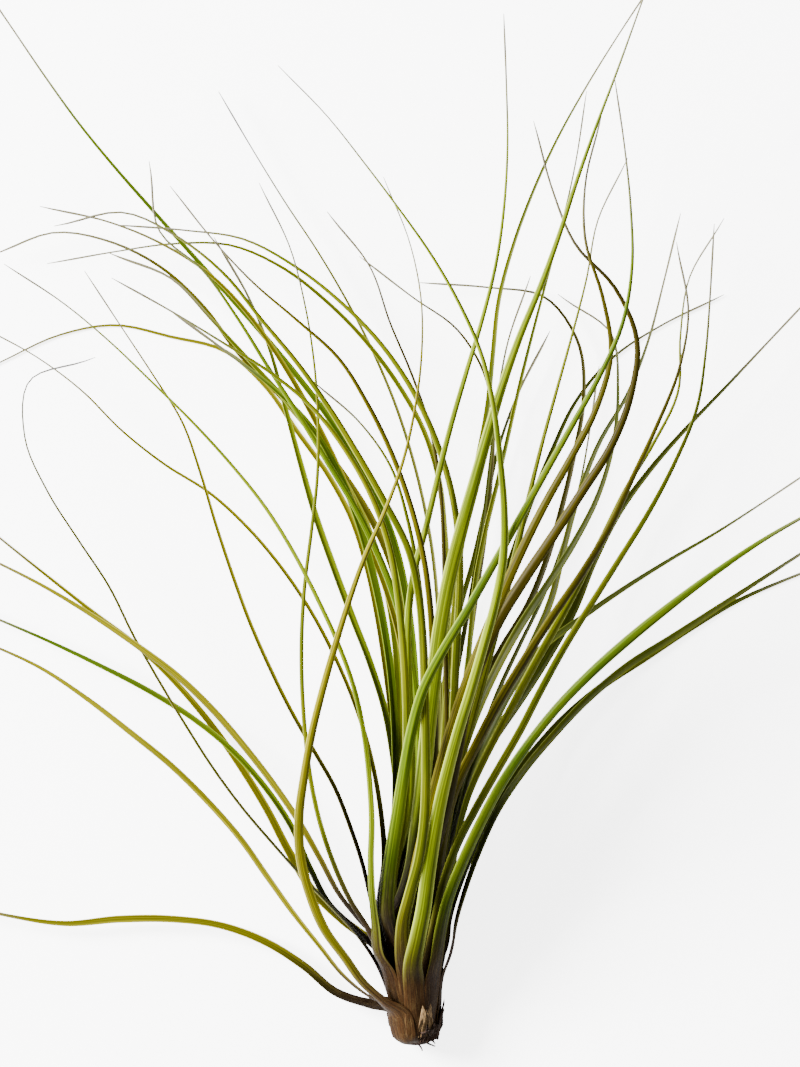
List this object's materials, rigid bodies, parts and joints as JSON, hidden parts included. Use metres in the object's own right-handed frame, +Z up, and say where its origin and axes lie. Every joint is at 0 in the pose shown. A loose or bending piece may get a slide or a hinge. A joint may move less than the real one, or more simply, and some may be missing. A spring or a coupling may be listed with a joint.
{
  "type": "air plant",
  "caption": "Whole unpotted air plant laid on its side: long channelled grass-like leaves in rings round a short stem, with wiry root stubs and papery old sheaths.",
  "frame": {"origin": "on the surface, on the flat that the foot of the crown rests on", "axes": "+Y along the plant towards its tips, +X to its right seen from above, +Z up from the surface"},
  "size_m": [0.3633, 0.4235, 0.1495],
  "materials": {
    "leaf_green": "satin leaf with fine scales",
    "leaf_olive": "satin leaf with fine scales",
    "leaf_brown": "satin leaf with fine scales",
    "stem": "rough dry fibre",
    "dry_sheath": "matt dry paper-thin sheath"
  },
  "bodies": {
    "root": {"leaf_01": "leaf_olive", "leaf_02": "leaf_olive", "leaf_03": "leaf_green", "leaf_04": "leaf_olive", "leaf_05": "leaf_brown", "leaf_06": "leaf_brown", "leaf_07": "leaf_olive", "leaf_08": "leaf_green", "leaf_09": "leaf_olive", "leaf_10": "leaf_olive", "leaf_11": "leaf_olive", "leaf_12": "leaf_green", "leaf_13": "leaf_brown", "leaf_14": "leaf_olive", "leaf_15": "leaf_olive", "leaf_16": "leaf_olive", "leaf_17": "leaf_green", "leaf_18": "leaf_brown", "leaf_19": "leaf_olive", "leaf_20": "leaf_brown", "leaf_21": "leaf_green", "leaf_22": "leaf_green", "leaf_23": "leaf_olive", "leaf_24": "leaf_brown", "leaf_25": "leaf_brown", "leaf_26": "leaf_olive", "leaf_27": "leaf_green", "leaf_28": "leaf_brown", "leaf_29": "leaf_brown", "leaf_30": "leaf_green", "leaf_31": "leaf_olive", "leaf_32": "leaf_olive", "leaf_33": "leaf_olive", "leaf_34": "leaf_brown", "leaf_35": "leaf_olive", "leaf_36": "leaf_olive", "leaf_37": "leaf_brown", "leaf_38": "leaf_brown", "leaf_39": "leaf_olive", "leaf_40": "leaf_olive", "leaf_41": "leaf_olive", "leaf_42": "leaf_brown", "leaf_43": "leaf_olive", "leaf_44": "leaf_olive", "leaf_45": "leaf_green", "leaf_46": "leaf_brown", "leaf_47": "leaf_green", "leaf_48": "leaf_olive", "leaf_49": "leaf_olive", "leaf_50": "leaf_brown", "leaf_51": "leaf_olive", "leaf_52": "leaf_olive", "stem": "stem", "dry_sheath_1": "dry_sheath", "dry_sheath_2": "dry_sheath", "dry_sheath_3": "dry_sheath"}
  },
  "joints": []
}
